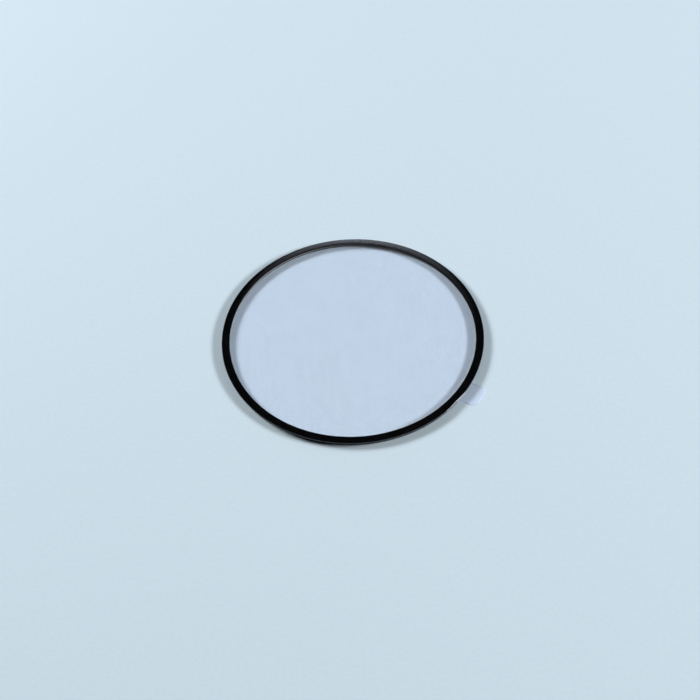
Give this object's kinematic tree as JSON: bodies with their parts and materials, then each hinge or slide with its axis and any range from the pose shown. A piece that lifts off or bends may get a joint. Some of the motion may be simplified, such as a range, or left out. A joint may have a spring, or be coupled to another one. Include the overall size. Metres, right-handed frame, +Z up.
{
  "type": "smartwatch screen protector",
  "caption": "Round bevelled glass screen protector for a smartwatch, with a black border, a foam tape ring and a clear release liner with a pull tab.",
  "frame": {"origin": "centre of the round liner's underside, on the surface that the protector lies on", "axes": "+Z up through the glass, +X and +Y in the plane of the glass; the pull tab points 34 degrees from +X towards -Y, and the picture is taken from -Y"},
  "size_m": [0.036, 0.036, 0.0009],
  "materials": {
    "liner_film": "clear siliconised polyester film, glossy",
    "tape_adhesive": "clear pressure-sensitive acrylic, tacky",
    "tape_foam": "black closed-cell polyethylene foam, die cut",
    "border_ink": "opaque black screen-printed ink, glossy where it is seen through the glass",
    "clear_film": "clear polyester film",
    "clear_adhesive": "optically clear adhesive",
    "tempered_glass": "polished tempered glass with a fine ground edge"
  },
  "bodies": {
    "liner": {"release_liner": "liner_film"},
    "lens": {"lower_adhesive": "tape_adhesive", "tape_carrier": "tape_foam", "upper_adhesive": "tape_adhesive", "shatterproof_film": "clear_film", "laminating_adhesive": "clear_adhesive", "border_print": "border_ink", "cover_glass": "tempered_glass"}
  },
  "joints": [
    {"name": "lens_lift", "type": "slide", "parent": "liner", "child": "lens", "axis": [0, 0, 1], "range_m": [0, 0.012]}
  ]
}
